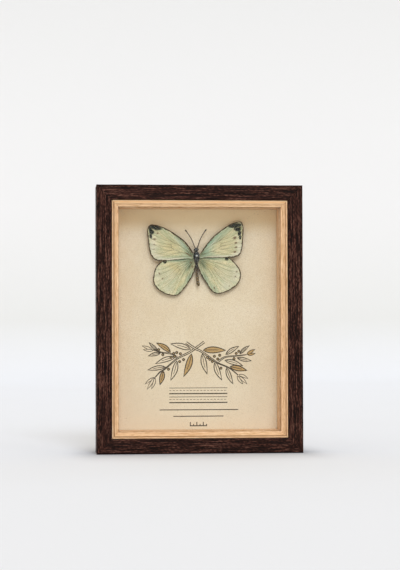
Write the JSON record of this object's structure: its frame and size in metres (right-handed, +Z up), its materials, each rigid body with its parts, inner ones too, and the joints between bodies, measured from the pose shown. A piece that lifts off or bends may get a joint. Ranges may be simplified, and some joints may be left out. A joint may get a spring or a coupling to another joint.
{
  "type": "framed butterfly specimen",
  "caption": "Deep glazed wooden box frame, dark rails with a pale inner slip, holding a spread butterfly pinned in front of a printed card; stands on its bottom rail or hangs.",
  "frame": {"origin": "middle of the bottom of the frame's box, which is the middle of the bottom rail's underside", "axes": "+X to the viewer's right, +Z up, the glass faces -Y and the back board +Y"},
  "size_m": [0.178, 0.038, 0.231],
  "materials": {
    "dark_wood": "dark stained open-grained wood, fine dark and reddish streaks along each rail, satin",
    "pale_wood": "pale bare wood with fine straight grain, satin",
    "clear_glass": "clear polished picture glass",
    "printed_paper": "aged cream paper, mottled with faint specks, printed with crossed leafy sprigs and blank label lines in grey brown and tan",
    "backing_card": "plain grey-brown board",
    "hardboard": "brown pressed board, smooth with fine fibres",
    "zinc_steel": "bright zinc-plated sheet steel",
    "insect_body": "blue-black head and thorax with fine hairs, golden-brown ringed abdomen",
    "wing_scales": "pale green wings with blue-green shading at the root, fine streaks, dark brown margins, black tips and small spots",
    "pin_steel": "polished steel insect pin with a round head"
  },
  "bodies": {
    "root": {"rail_top": "dark_wood", "rail_bottom": "dark_wood", "rail_left": "dark_wood", "rail_right": "dark_wood", "slip_top": "pale_wood", "slip_bottom": "pale_wood", "slip_left": "pale_wood", "slip_right": "pale_wood", "glass_pane": "clear_glass", "spacer_top": "pale_wood", "spacer_bottom": "pale_wood", "spacer_left": "pale_wood", "spacer_right": "pale_wood", "print_card": "printed_paper", "pinning_board": "backing_card", "back_board": "hardboard", "retaining_point_left_lower": "zinc_steel", "retaining_point_left_upper": "zinc_steel", "retaining_point_right_lower": "zinc_steel", "retaining_point_right_upper": "zinc_steel", "retaining_point_top": "zinc_steel", "retaining_point_bottom": "zinc_steel", "sawtooth_hanger": "zinc_steel", "hanger_rivet_left": "zinc_steel", "hanger_rivet_right": "zinc_steel", "butterfly_body": "insect_body", "forewing_left": "wing_scales", "forewing_right": "wing_scales", "hindwing_left": "wing_scales", "hindwing_right": "wing_scales", "antenna_left": "insect_body", "antenna_right": "insect_body", "pin": "pin_steel"}
  },
  "joints": []
}
